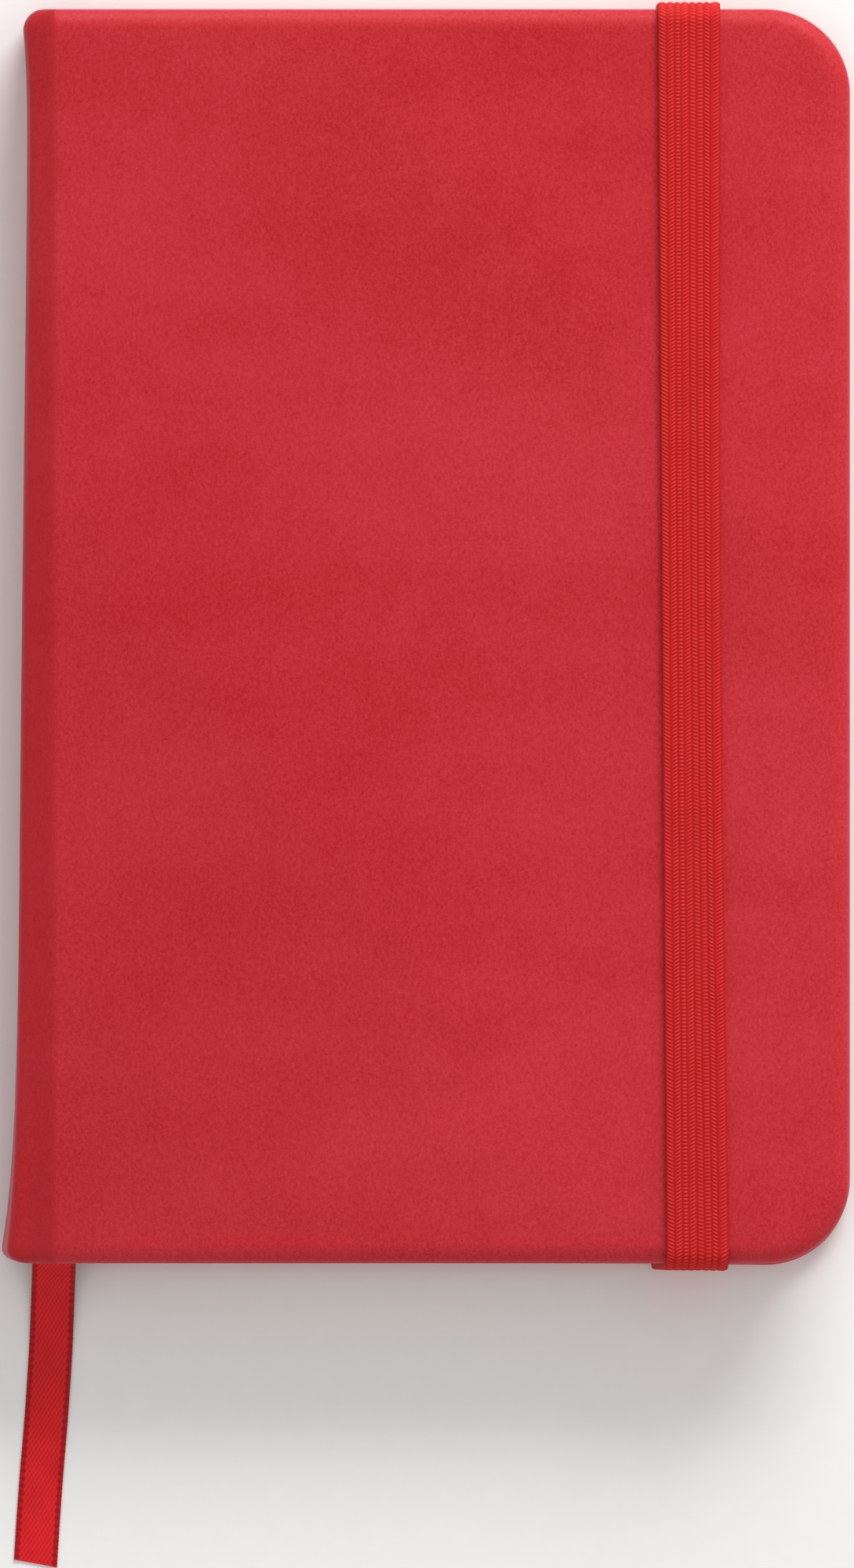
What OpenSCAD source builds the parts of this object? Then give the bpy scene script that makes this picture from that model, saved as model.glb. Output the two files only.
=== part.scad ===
// Pocket notebook: hard covers in one sheet of leatherette, sewn block, band and ribbon.
// It lies closed on its back cover. X runs from the spine to the fore-edge, Y from the tail
// to the head, and Z up through the front cover. The origin is under its middle.

/* [Cover] */
// Height of the covers, tail to head
cover_h = 141; // [110:1:210]
// Width of the closed notebook, spine to fore-edge
cover_w = 93.2; // [70:0.1:150]
// Radius of the covers' fore-edge corners
corner_r = 8; // [3:0.5:12]
// Thickness of the greyboard in each cover
board_t = 1.7; // [1.5:0.1:3]
// Thickness of the leatherette skin
skin_t = 0.5; // [0.3:0.05:0.8]
// Width of skin turned in over the inside of the boards
turn_in_w = 12; // [8:1:18]
// Thickness of the turned-in skin once it is pared down
turn_in_t = 0.3; // [0.1:0.05:0.5]
// Depth of the pressed groove in each joint
groove_d = 0.7; // [0.2:0.1:0.8]

/* [Spine] */
// Thickness of the card strip in the spine
spine_card_t = 0.8; // [0.5:0.1:1.5]
// Width of skin between the card and the flexible joints, front and back
lip_w = 0.1; // [0.1:0.1:0.5]
// Width of the flexible joint between spine and board
joint_w = 2.8; // [2.5:0.1:5]
// Thickness of the gauze lining on the folds
lining_t = 0.25; // [0.1:0.05:0.5]
// Play between the lining and the spine card
hollow_gap = 0.05; // [0:0.05:1]
// Diameter of the sewing thread
thread_d = 0.2; // [0.15:0.05:0.5]
// Number of sewing stations along the folds
stations = 5; // [3:1:7]

/* [Paper] */
// Thickness of one leaf of writing paper
leaf_t = 0.09; // [0.07:0.01:0.14]
// Thickness of one leaf of end-paper
endpaper_t = 0.15; // [0.1:0.01:0.25]
// Air between two loose leaves
leaf_gap = 0.02; // [0.01:0.01:0.05]
// How far the covers stand past the leaves
square_w = 2.2; // [1.5:0.1:4]
// Radius of the leaves' fore-edge corners
page_r = 6; // [2:0.5:10]
// Width of the folded edge that the first gathering's leaves turn on
fold_w = 0.5; // [0.3:0.1:0.8]

/* [Elastic band] */
// Width of the band
band_w = 7; // [4:0.5:10]
// Thickness of the band
band_t = 0.8; // [0.5:0.1:1]
// Distance from the fore-edge to the band's middle, at the head
band_from_edge_head = 18.1; // [12:0.1:26]
// Distance from the fore-edge to the band's middle, at the tail
band_from_edge_tail = 17.1; // [12:0.1:26]
// Distance from the fore-edge to the middle of the anchor slots in the back cover
slot_from_edge = 18.8; // [12:0.1:26]
// Distance from the head and tail edges to the anchor slots
slot_in = 12; // [8:0.5:20]
// Length of band glued inside the back cover, past each slot
anchor_l = 15; // [8:1:25]
// Play between the band and its channel or slot
band_play = 0.05; // [0.03:0.01:0.2]

/* [Ribbon] */
// Width of the ribbon bookmark
ribbon_w = 4.8; // [3:0.1:8]
// Thickness of the ribbon
ribbon_t = 0.25; // [0.15:0.05:0.3]
// Length of ribbon glued to the spine at the head
tab_l = 16; // [8:1:25]
// Space left for the ribbon between two gatherings
ribbon_room = 0.3; // [0.3:0.01:0.4]

/* [Hidden] */
$fn = 64;
leaves = 8;             // loose leaves, all of the first gathering
gatherings = 12;        // the first one is the loose leaves
marked = 7;             // the ribbon lies under this gathering
two_digits = function(i) str(i < 10 ? "0" : "", i);
leaf_names = [for (i = [1:leaves]) str("leaf_", two_digits(i))];
signature_names = [for (i = [2:gatherings]) str("signature_", two_digits(i))];

skin_red = [0.72, 0.16, 0.19];
band_red = [0.80, 0.13, 0.13];
ribbon_red = [0.70, 0.10, 0.14];
grey_board = [0.62, 0.60, 0.56];
cream = [0.95, 0.92, 0.83];
gauze = [0.90, 0.89, 0.84];

eps = 0.01;

// Heights, from the table up
signature_t = leaves * leaf_t;
back_inside_z = skin_t + board_t;
back_flyleaf_z = back_inside_z + endpaper_t;
block_z = back_flyleaf_z + endpaper_t;
leaves_z = block_z + (gatherings - 1) * signature_t + ribbon_room;
leaf_pitch = leaf_t + leaf_gap;
flyleaf_z = leaves_z + leaves * leaf_pitch + leaf_gap;
pastedown_z = flyleaf_z + endpaper_t + leaf_gap;
front_inside_z = pastedown_z + endpaper_t;
front_skin_z = front_inside_z + board_t;
top_z = front_skin_z + skin_t;
ribbon_z = block_z + (gatherings - marked) * signature_t + ribbon_room / 2;

// Places across, from the spine to the fore-edge
spine_x = -cover_w / 2;
fore_x = cover_w / 2;
joint_x = spine_x + skin_t + spine_card_t + lip_w;      // where the joint starts
board_x = joint_x + joint_w;              // where the boards start
block_x = spine_x + skin_t + spine_card_t + hollow_gap + lining_t;
page_fore_x = fore_x - square_w;
turning_x = board_x + 0.1;                // where the turning leaves start, past the joint
page_h = cover_h - 2 * square_w;

// Elastic band
strand_head_x = fore_x - band_from_edge_head;
strand_tail_x = fore_x - band_from_edge_tail;
slot_x = fore_x - slot_from_edge;
slot_y = cover_h / 2 - slot_in;
channel_d = band_t + 2 * band_play;
tail_pocket_z = back_inside_z - band_t;

// Sewing
station_y = function(i) page_h * ((i + 0.5) / stations - 0.5);
kerf_w = 0.6;
kerf_d = thread_d + 0.05;

// Route of the ribbon: down the gutter, over the tail edge and along the table
ribbon_route = [
    [-42.3, 68.3, 6.25], [-42.3, 54, 6.25], [-42.3, 40, 6.25], [-42.3, 26, 6.25],
    [-42.3, 12, 6.25], [-42.3, -2, 6.25], [-42.3, -16, 6.25], [-42.3, -30, 6.25],
    [-42.3, -44, 6.25], [-42.34, -56, 6.25], [-42.45, -64, 6.25], [-42.52, -68.4, 6.24],
    [-42.58, -70.8, 5.9], [-42.66, -73.4, 4.9], [-42.75, -76, 3.3], [-42.85, -78.4, 1.9],
    [-42.98, -81, 0.9], [-43.2, -84.2, 0.4], [-43.5, -88.5, 0.3], [-43.9, -94, 0.3],
    [-44.3, -99.2, 0.3], [-44.65, -104.1, 0.3]];

// ---- Outlines ----

// A cover or a leaf seen from above: square at the spine, rounded at the fore-edge
module outline(x0, x1, h, r) {
    translate([x0, -h / 2]) square([x1 - r - x0, h]);
    translate([x0, r - h / 2]) square([x1 - x0, h - 2 * r]);
    for (side = [-1, 1]) translate([x1 - r, side * (h / 2 - r)]) circle(r);
}

module cover_outline(inset) {
    outline(board_x, fore_x - inset, cover_h - 2 * inset, max(corner_r - inset, 0.5));
}

module page_outline(x0) {
    outline(x0, page_fore_x, page_h, page_r);
}

module slab(z, t) {
    translate([0, 0, z]) linear_extrude(t) children();
}

// ---- Covers ----

// Board of one cover. Its inner face is cut back for the turned-in skin.
module board(z, inner_z) {
    difference() {
        slab(z, board_t) cover_outline(skin_t);
        slab(inner_z, turn_in_t) difference() {
            cover_outline(-1);
            cover_outline(turn_in_w);
        }
    }
}

// Skin of one cover: the outer face, the wrapped edges and the turned-in margin
module skin_shell(outer_z, edge_z, turn_z) {
    slab(outer_z, skin_t) cover_outline(0);
    slab(edge_z, board_t) difference() {
        cover_outline(0);
        cover_outline(skin_t);
    }
    slab(turn_z, turn_in_t) difference() {
        cover_outline(skin_t);
        cover_outline(turn_in_w);
    }
}

// Height of the joint groove at u, from 0 at the spine to 1 at the board
groove = function(u) groove_d * (1 - cos(360 * u)) / 2;
groove_steps = 16;

// Cross-section of the flexible joint, with its outer face up
module joint_section() {
    across = [for (i = [0:groove_steps]) i / groove_steps];
    polygon(concat(
        [for (u = across) [joint_x + u * joint_w, -groove(u)]],
        [for (i = [groove_steps:-1:0])
            [joint_x + across[i] * joint_w, -skin_t - groove(across[i])]]));
}

// Stands a cross-section drawn in X and Z up along the whole height of the cover
module along_height(h) {
    translate([0, h / 2, 0]) rotate([90, 0, 0]) linear_extrude(h) children();
}

// Room for the band in the back cover: a channel in its outer face and a slot through it
module band_channel(grow) {
    w = band_w + 2 * band_play + 2 * grow;
    for (side = [-1, 1]) mirror([0, side < 0 ? 1 : 0, 0])
        translate([slot_x - w / 2, slot_y - band_t / 2 - band_play - grow, -eps])
            cube([w, slot_in + band_t / 2 + band_play + grow + 1, channel_d + grow + eps]);
}

module band_slot() {
    w = band_w + 2 * band_play;
    for (side = [-1, 1]) translate([slot_x - w / 2, side * slot_y - band_t / 2 - band_play, -eps])
        cube([w, band_t + 2 * band_play, back_inside_z + 2 * eps]);
}

// Recess in the inside of the back board for the glued end of the band
module band_pocket() {
    w = band_w + 2 * band_play;
    l = anchor_l + band_play;
    for (side = [-1, 1]) mirror([0, side < 0 ? 1 : 0, 0])
        translate([slot_x - w / 2, slot_y - band_t / 2 - l, tail_pocket_z - band_play])
            cube([w, l + band_t / 2, band_t + band_play + 1]);
}

// The skin of the back cover, out to the back joint
module cover_skin_back() color(skin_red) {
    difference() {
        skin_shell(0, skin_t, back_inside_z - turn_in_t);
        band_channel(0);
        band_slot();
    }
    difference() {
        intersection() {
            band_channel(skin_t);
            slab(0, back_inside_z) cover_outline(0);
        }
        band_channel(0);
        band_slot();
    }
    mirror([0, 0, 1]) along_height(cover_h) joint_section();
}

// The skin round the spine, out to both joints and turned in at the head and the tail
module cover_skin_spine() color(skin_red) {
    along_height(cover_h) {
        translate([spine_x, 0]) square([skin_t, top_z]);
        for (z = [0, front_skin_z])
            translate([spine_x, z]) square([joint_x - spine_x, skin_t]);
    }
    for (y = [-cover_h / 2, cover_h / 2 - skin_t])
        translate([spine_x, y, 0]) cube([skin_t + spine_card_t, skin_t, top_z]);
}

module cover_skin_joint() color(skin_red)
    translate([0, 0, top_z]) along_height(cover_h) joint_section();

module cover_skin_front() color(skin_red)
    skin_shell(front_skin_z, front_inside_z, front_inside_z);

module front_board() color(grey_board)
    board(front_inside_z, front_inside_z);

module back_board() color(grey_board)
    difference() {
        board(skin_t, back_inside_z - turn_in_t);
        band_channel(skin_t);
        band_slot();
        band_pocket();
    }

module spine_strip() color(grey_board)
    translate([spine_x + skin_t, skin_t - cover_h / 2, skin_t])
        cube([spine_card_t, cover_h - 2 * skin_t, top_z - 2 * skin_t]);

module pastedown(z) color(cream)
    slab(z, endpaper_t) page_outline(board_x);

module front_pastedown() pastedown(pastedown_z);
module back_pastedown() pastedown(back_inside_z);

// ---- Block ----

module kerfs() {
    for (i = [0:stations - 1])
        translate([block_x - eps, station_y(i) - kerf_w / 2, block_z - 1])
            cube([kerf_d + eps, kerf_w, leaves_z + leaves * leaf_pitch - block_z + 2]);
}

module back_flyleaf() color(cream)
    slab(back_flyleaf_z, endpaper_t) page_outline(block_x);

module front_flyleaf() color(cream)
    slab(flyleaf_z, endpaper_t) page_outline(turning_x);

// The folded end-paper where it crosses the front joint
module endpaper_joint() color(cream)
    translate([block_x, -page_h / 2, flyleaf_z]) cube([board_x - block_x, page_h, endpaper_t]);

// Leaf i of the first gathering, counted from the front
module leaf(i) color(cream)
    slab(leaves_z + leaf_gap + (leaves - i) * leaf_pitch, leaf_t) page_outline(turning_x);

module signature_01_fold() color(cream)
    difference() {
        translate([block_x, -page_h / 2, leaves_z])
            cube([fold_w, page_h, leaves * leaf_pitch]);
        kerfs();
    }

// Gathering i, counted from the front. The marked one lies over the ribbon's room.
module signature(i) color(cream) {
    over = i < marked ? ribbon_room : 0;
    z = block_z + (gatherings - i) * signature_t + over;
    difference() {
        slab(z, signature_t + (i == marked ? ribbon_room : 0)) page_outline(block_x);
        kerfs();
        if (i == marked)
            translate([block_x - 1, -cover_h, z - eps])
                cube([ribbon_w + 1.4, 2 * cover_h, ribbon_room + eps]);
    }
}

// One length of thread in the sawn notches at each station
module sewing_thread() color("white")
    for (i = [0:stations - 1])
        translate([block_x + thread_d / 2, station_y(i), block_z])
            cylinder(h = leaves_z + leaves * leaf_pitch - block_z, d = thread_d, $fn = 24);

// Gauze glued over the folds, short of the ribbon's tab at the head
module spine_lining() color(gauze)
    translate([block_x - lining_t, -page_h / 2 + 4, block_z])
        cube([lining_t, page_h - 8 - tab_l, leaves_z + leaves * leaf_pitch - block_z]);

// ---- Elastic band ----

// The strand over the front cover and its two legs, which swing off the fore-edge together
module elastic_band() color(band_red) {
    reach = cover_h / 2 + band_t;
    slab(top_z, band_t) polygon([
        [strand_head_x - band_w / 2, reach], [strand_tail_x - band_w / 2, -reach],
        [strand_tail_x + band_w / 2, -reach], [strand_head_x + band_w / 2, reach]]);
    for (end = [[strand_head_x, cover_h / 2 + band_t], [strand_tail_x, -cover_h / 2]])
        translate([0, end[1], 0]) rotate([90, 0, 0]) linear_extrude(band_t) polygon([
            [slot_x - band_w / 2, 0], [slot_x + band_w / 2, 0],
            [end[0] + band_w / 2, top_z], [end[0] - band_w / 2, top_z]]);
}

// The band's ends: along the channel, through the slot and under the pastedown
module band_anchors() color(band_red)
    for (side = [-1, 1]) mirror([0, side < 0 ? 1 : 0, 0]) translate([slot_x - band_w / 2, 0, 0]) {
        translate([0, slot_y - band_t / 2, band_play])
            cube([band_w, slot_in + band_t / 2, band_t]);
        translate([0, slot_y - band_t / 2, band_play])
            cube([band_w, band_t, back_inside_z - band_play]);
        translate([0, slot_y - band_t / 2 - anchor_l, tail_pocket_z])
            cube([band_w, anchor_l + band_t / 2, band_t]);
    }

// ---- Ribbon ----

// The end glued to the folds at the head and turned in over the head edge
module ribbon_tab() color(ribbon_red) {
    translate([block_x - lining_t, page_h / 2 - tab_l, ribbon_z - ribbon_w / 2])
        cube([ribbon_t, tab_l + ribbon_t, ribbon_w]);
    translate([block_x - lining_t, page_h / 2, ribbon_z - ribbon_t / 2])
        cube([lining_t + 0.3 + ribbon_w, ribbon_t, ribbon_t + ribbon_w / 2]);
}

// Cross-section of the ribbon, in its width and its thickness
ribbon_section = [for (p = [[-1, -0.4], [-0.9, -1], [0.9, -1], [1, -0.4],
                            [1, 0.4], [0.9, 1], [-0.9, 1], [-1, 0.4]])
    [p[0] * ribbon_w / 2, p[1] * ribbon_t / 2]];

// Direction of the route at point i, level across and along
function heading(route, i) =
    let (a = route[max(i - 1, 0)], b = route[min(i + 1, len(route) - 1)], d = b - a)
    d / norm(d);

function ring(route, i) =
    let (along = heading(route, i),
         across = [-along[1], along[0], 0] / norm([along[0], along[1]]),
         up = cross(along, across))
    [for (p = ribbon_section) route[i] + p[0] * across + p[1] * up];

module sweep(route) {
    n = len(ribbon_section);
    last = (len(route) - 1) * n;
    points = [for (i = [0:len(route) - 1]) each ring(route, i)];
    sides = [for (i = [0:len(route) - 2], k = [0:n - 1])
        let (a = i * n + k, b = i * n + (k + 1) % n) [a, a + n, b + n, b]];
    polyhedron(points, concat(sides,
        [[for (k = [0:n - 1]) k], [for (k = [n - 1:-1:0]) last + k]]));
}

module ribbon_bookmark() color(ribbon_red) sweep(ribbon_route);

// ---- What is drawn ----

back_board();
back_pastedown();
back_flyleaf();
cover_skin_back();
cover_skin_spine();
cover_skin_joint();
cover_skin_front();
spine_strip();
spine_lining();
sewing_thread();
front_board();
front_pastedown();
front_flyleaf();
endpaper_joint();
signature_01_fold();
band_anchors();
elastic_band();
ribbon_tab();
ribbon_bookmark();
for (i = [1:leaves]) leaf(i);
for (i = [2:gatherings]) signature(i);
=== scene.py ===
import math
import random

import bmesh
import bpy
import numpy as np
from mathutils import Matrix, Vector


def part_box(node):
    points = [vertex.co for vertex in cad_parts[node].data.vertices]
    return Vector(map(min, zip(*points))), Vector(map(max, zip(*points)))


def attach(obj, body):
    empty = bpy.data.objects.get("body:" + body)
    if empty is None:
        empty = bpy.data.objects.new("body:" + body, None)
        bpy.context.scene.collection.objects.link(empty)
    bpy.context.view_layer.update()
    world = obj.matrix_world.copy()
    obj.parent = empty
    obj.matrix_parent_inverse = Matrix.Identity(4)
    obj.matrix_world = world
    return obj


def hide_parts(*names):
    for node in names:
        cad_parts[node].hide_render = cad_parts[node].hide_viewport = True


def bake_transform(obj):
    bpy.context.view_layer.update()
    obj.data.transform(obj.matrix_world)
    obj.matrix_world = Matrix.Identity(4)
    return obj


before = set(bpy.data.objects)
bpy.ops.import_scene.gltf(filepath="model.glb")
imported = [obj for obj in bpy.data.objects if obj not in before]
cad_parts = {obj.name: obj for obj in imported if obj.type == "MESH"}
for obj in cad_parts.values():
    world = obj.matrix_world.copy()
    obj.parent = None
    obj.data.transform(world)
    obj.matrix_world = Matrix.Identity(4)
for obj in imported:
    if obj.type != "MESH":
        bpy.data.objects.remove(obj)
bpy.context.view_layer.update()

# ---- The view, the table and the light ----
# The notebook lies closed on a pale table and is seen from straight above, from far off. One
# large soft lamp stands past the head, to the right, and the pale room lights it from all round.
mm = 0.001
cover_low, cover_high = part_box("cover_skin_front")
face_z = cover_high.z

view_height = 176.2 * mm
view_middle = (-0.94 * mm, -16.6 * mm)
lens_length = 800
film_height = 36
bpy.ops.object.select_all(action="DESELECT")
bpy.ops.object.camera_add(
    location=(*view_middle, face_z + view_height * lens_length / film_height), rotation=(0, 0, 0))
camera = bpy.context.object
camera.name = "camera"
camera.data.lens = lens_length
camera.data.sensor_width = film_height
bpy.context.scene.camera = camera
bpy.context.scene.view_settings.view_transform = "Standard"

lamp_place = (0.38, 1.02, 0.60)
lamp_width, lamp_depth = 0.7, 0.4
lamp_power = 13.2
room_colour, room_strength = (1.0, 0.985, 0.97), 0.67
table_size = 6
bpy.ops.object.light_add(type="AREA", location=lamp_place)
lamp = bpy.context.object
lamp.name = "lamp"
lamp.data.shape = "RECTANGLE"
lamp.data.size = lamp_width
lamp.data.size_y = lamp_depth
lamp.data.energy = lamp_power
lamp.rotation_euler = (-lamp.location).to_track_quat("-Z", "Y").to_euler()

room = bpy.data.worlds.new("room")
room.use_nodes = True
room.node_tree.nodes["Background"].inputs["Color"].default_value = (*room_colour, 1)
room.node_tree.nodes["Background"].inputs["Strength"].default_value = room_strength
bpy.context.scene.world = room


def plain_finish(name, colour, roughness, sheen=0.0, sheen_tint=(1, 1, 1), specular=0.5):
    """A new material. Returns it with its node tree and its shader."""
    made = bpy.data.materials.new(name)
    made.use_nodes = True
    shader = made.node_tree.nodes["Principled BSDF"]
    shader.inputs["Base Color"].default_value = (*colour, 1)
    shader.inputs["Roughness"].default_value = roughness
    shader.inputs["Sheen Weight"].default_value = sheen
    shader.inputs["Sheen Tint"].default_value = (*sheen_tint, 1)
    shader.inputs["Specular IOR Level"].default_value = specular
    return made, made.node_tree, shader


def node(tree, kind, values=(), links=()):
    """Adds one node, sets its inputs by name or number, and links what feeds them."""
    made = tree.nodes.new(kind)
    for key, value in dict(values).items():
        made.inputs[key].default_value = value
    for key, source in dict(links).items():
        tree.links.new(source, made.inputs[key])
    return made


def noise(tree, scale, detail=2.0, stretch=(1, 1, 1), turn=0):
    """A noise on the piece's own coordinates. Scale is lumps to the metre."""
    place = node(tree, "ShaderNodeTexCoord")
    turned = node(tree, "ShaderNodeMapping",
                  {"Scale": stretch, "Rotation": (0, 0, math.radians(turn))},
                  {"Vector": place.outputs["Object"]})
    return node(tree, "ShaderNodeTexNoise", {"Scale": scale, "Detail": detail},
                {"Vector": turned.outputs["Vector"]}).outputs["Fac"]


def between(tree, share, one, other):
    """Mixes two colours, each a colour or a socket."""
    made = tree.nodes.new("ShaderNodeMix")
    made.data_type = "RGBA"
    tree.links.new(share, made.inputs["Factor"])
    for key, colour in (("A", one), ("B", other)):
        socket = [i for i in made.inputs if i.name == key and i.type == "RGBA"][0]
        if isinstance(colour, tuple):
            socket.default_value = (*colour, 1)
        else:
            tree.links.new(colour, socket)
    return [o for o in made.outputs if o.type == "RGBA"][0]


bpy.ops.mesh.primitive_plane_add(size=table_size, location=(0, 0, 0))
table = bpy.context.object
table.name = "table"
table_white, tree, shader = plain_finish("table_white", (0.90, 0.90, 0.90), 0.75, specular=0.2)
tree.links.new(between(tree, noise(tree, 400), (0.885, 0.885, 0.89), (0.915, 0.915, 0.915)),
               shader.inputs["Base Color"])
table.data.materials.append(table_white)


# ---- The ribbon bookmark ----
# A satin ribbon, woven with staggered pin holes and a beaded selvedge. It lies in the gutter under
# the seventh gathering, comes out at the tail, drops to the table and ends in a slightly skew cut.
ribbon_w = 4.8 * mm
ribbon_t = 0.2 * mm
ribbon_length = 174 * mm
ribbon_cells, ribbon_rows = 32, 6
# The weave, in mm: the pitch of the pin holes across and along, how deep they are, and the
# selvedge's width, the height of its beads and how far they swell out.
hole_across, weave_repeat, hole_depth = 0.45, 0.84, 0.04
selvedge, bead_height, bead_out = 0.5, 0.05, 0.07
# The cut: the share of the length that is drawn askew, and how much.
cut_share, cut_skew = 0.03, 0.12
ribbon_route = [
    [-42.3, 68.3, 6.25], [-42.3, 54, 6.25], [-42.3, 40, 6.25], [-42.3, 26, 6.25],
    [-42.3, 12, 6.25], [-42.3, -2, 6.25], [-42.3, -16, 6.25], [-42.3, -30, 6.25],
    [-42.3, -44, 6.25], [-42.4, -56, 6.25], [-42.65, -64, 6.25], [-42.84, -68.2, 6.15],
    [-42.92, -69.8, 5.3], [-42.98, -71.2, 3.7], [-43.04, -72.6, 2.1], [-43.12, -74.4, 1.0],
    [-43.22, -77, 0.5], [-43.4, -81, 0.25], [-43.9, -88.5, 0.2], [-44.36, -94, 0.2],
    [-44.74, -99.2, 0.2], [-45.1, -104.8, 0.2]]


def pick(piece, kind, wanted):
    """Selects, in edit mode, only the verts, edges or faces that the test wants."""
    bpy.ops.mesh.select_all(action="DESELECT")
    mesh = bmesh.from_edit_mesh(piece.data)
    for part in getattr(mesh, kind):
        if wanted(part):
            part.select_set(True)
    bmesh.update_edit_mesh(piece.data)


def all_at(axis, value, slack=0.02 * mm):
    """A test for pick: every corner of the part lies at that place along the axis."""
    return lambda part: all(abs(v.co[axis] - value) < slack for v in part.verts)


def edit(piece):
    """Makes this the only selected piece and opens it in edit mode."""
    if bpy.context.object and bpy.context.object.mode == "EDIT":
        bpy.ops.object.mode_set(mode="OBJECT")
    bpy.ops.object.select_all(action="DESELECT")
    piece.select_set(True)
    bpy.context.view_layer.objects.active = piece
    bpy.ops.object.mode_set(mode="EDIT")
    bpy.ops.mesh.select_mode(type="EDGE")


def close_up(piece, finish, angle=35):
    """Leaves edit mode, rounds the shading, and gives the piece its finish and slot."""
    if piece.mode == "EDIT":
        bpy.ops.object.mode_set(mode="OBJECT")
    bpy.ops.object.select_all(action="DESELECT")
    piece.select_set(True)
    bpy.context.view_layer.objects.active = piece
    bpy.ops.object.shade_smooth_by_angle(angle=math.radians(angle))
    if finish:
        piece.data.materials.clear()
        piece.data.materials.append(finish)


def apply(piece, kind, **settings):
    """Adds a modifier to the piece and applies it."""
    bpy.context.view_layer.objects.active = piece
    added = piece.modifiers.new(kind.lower(), kind)
    for key, value in settings.items():
        setattr(added, key, value)
    bpy.ops.object.modifier_apply(modifier=added.name)


def woven_strip(name, width, thickness, cells, rows, repeat, count, relief):
    """A straight strip along +Y: one repeat of the weave, modelled once and then arrayed.
    relief(u, s) gives a place's height and its shifts across and along, in mm, and how raised
    it is, from 0 to 1."""
    bpy.ops.object.select_all(action="DESELECT")
    bpy.ops.mesh.primitive_grid_add(x_subdivisions=cells, y_subdivisions=rows, size=1)
    strip = bpy.context.object
    strip.name = name
    strip.scale = (width, repeat, 1)
    strip.location = (0, repeat / 2, 0)
    bpy.ops.object.transform_apply(location=True, rotation=True, scale=True)
    # How raised each place is; the woven finish paints shade and highlight from it.
    raised = strip.data.attributes.new("raised", "FLOAT", "POINT")
    for v in strip.data.vertices:
        height, across, along, share = relief(v.co.x / mm, v.co.y / mm)
        v.co.z = height * mm
        v.co.x += across * mm
        v.co.y += along * mm
        raised.data[v.index].value = share
    # The two long edges go down by the thickness and then meet along the middle of the back.
    edit(strip)
    pick(strip, "edges", lambda e: all(abs(v.co.x) > 0.49 * width for v in e.verts))
    bpy.ops.mesh.extrude_edges_move(TRANSFORM_OT_translate={"value": (0, 0, -thickness)})
    bpy.ops.mesh.extrude_edges_move(TRANSFORM_OT_translate={"value": (0, 0, 0)})
    bpy.ops.transform.resize(value=(0, 1, 1), center_override=(0, 0, 0))
    bpy.ops.mesh.select_all(action="SELECT")
    bpy.ops.mesh.remove_doubles(threshold=0.004 * mm)
    bpy.ops.object.mode_set(mode="OBJECT")
    apply(strip, "ARRAY", count=count, use_relative_offset=False, use_constant_offset=True,
          constant_offset_displace=(0, repeat, 0), use_merge_vertices=True,
          merge_threshold=0.01 * mm)
    edit(strip)
    bpy.ops.mesh.select_all(action="SELECT")
    bpy.ops.mesh.fill_holes(sides=0)
    bpy.ops.mesh.select_all(action="SELECT")
    bpy.ops.mesh.normals_make_consistent(inside=False)
    bpy.ops.object.mode_set(mode="OBJECT")
    return strip


def eased(points, steps=10):
    """A smooth curve through the points, as a closer line of points."""
    points = np.array(points, float)
    ends = np.vstack([2 * points[0] - points[1], points, 2 * points[-1] - points[-2]])
    line = []
    for a, b, c, d in zip(ends, ends[1:], ends[2:], ends[3:]):
        for t in np.arange(steps) / steps:
            line.append(0.5 * (2 * b + (c - a) * t + (2 * a - 5 * b + 4 * c - d) * t ** 2
                               + (3 * b - a - 3 * c + d) * t ** 3))
    return np.vstack([line, points[-1:]])


def lay_along(piece, line, across):
    """Bends a straight strip, which runs along +Y from 0, to follow the whole of a line.
    across gives the direction of the strip's width at each point of the line."""
    steps = np.linalg.norm(np.diff(line, axis=0), axis=1)
    reach = np.concatenate([[0], np.cumsum(steps)])
    heading = np.gradient(line, reach, axis=0)
    co = np.empty(len(piece.data.vertices) * 3)
    piece.data.vertices.foreach_get("co", co)
    co = co.reshape(-1, 3)
    s = co[:, 1] * reach[-1] / co[:, 1].max()

    def at(values):
        return np.stack([np.interp(s, reach, values[:, k]) for k in range(3)], axis=1)

    t, a = at(heading), at(across)
    t /= np.linalg.norm(t, axis=1)[:, None]
    a -= t * (a * t).sum(axis=1)[:, None]
    a /= np.linalg.norm(a, axis=1)[:, None]
    up = np.cross(a, t)
    moved = at(line) + a * co[:, :1] + up * co[:, 2:]
    piece.data.vertices.foreach_set("co", moved.ravel())
    piece.data.update()


def spread(tree, source, low, high, to_low=0.0, to_high=1.0):
    """Takes a value that runs from low to high and makes it run from 0 to 1, or as given."""
    return node(tree, "ShaderNodeMapRange",
                {"From Min": low, "From Max": high, "To Min": to_low, "To Max": to_high},
                {"Value": source}).outputs["Result"]


def bump(tree, shader, height, depth, strength=1.0):
    """Raises the surface by a value from 0 to 1. Depth is in metres."""
    raised = node(tree, "ShaderNodeBump", {"Strength": strength, "Distance": depth},
                  {"Height": height})
    tree.links.new(raised.outputs["Normal"], shader.inputs["Normal"])


def reckon(tree, operation, *parts):
    """Works out one value from others. Each is a number or the socket it comes from."""
    made = tree.nodes.new("ShaderNodeMath")
    made.operation = operation
    for socket, part in zip(made.inputs, parts):
        if isinstance(part, float):
            socket.default_value = part
        else:
            tree.links.new(part, socket)
    return made.outputs["Value"]


def marked(tree, name):
    """A value that the piece's own vertices carry."""
    mark = tree.nodes.new("ShaderNodeAttribute")
    mark.attribute_name = name
    return mark.outputs["Fac"]


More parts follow.
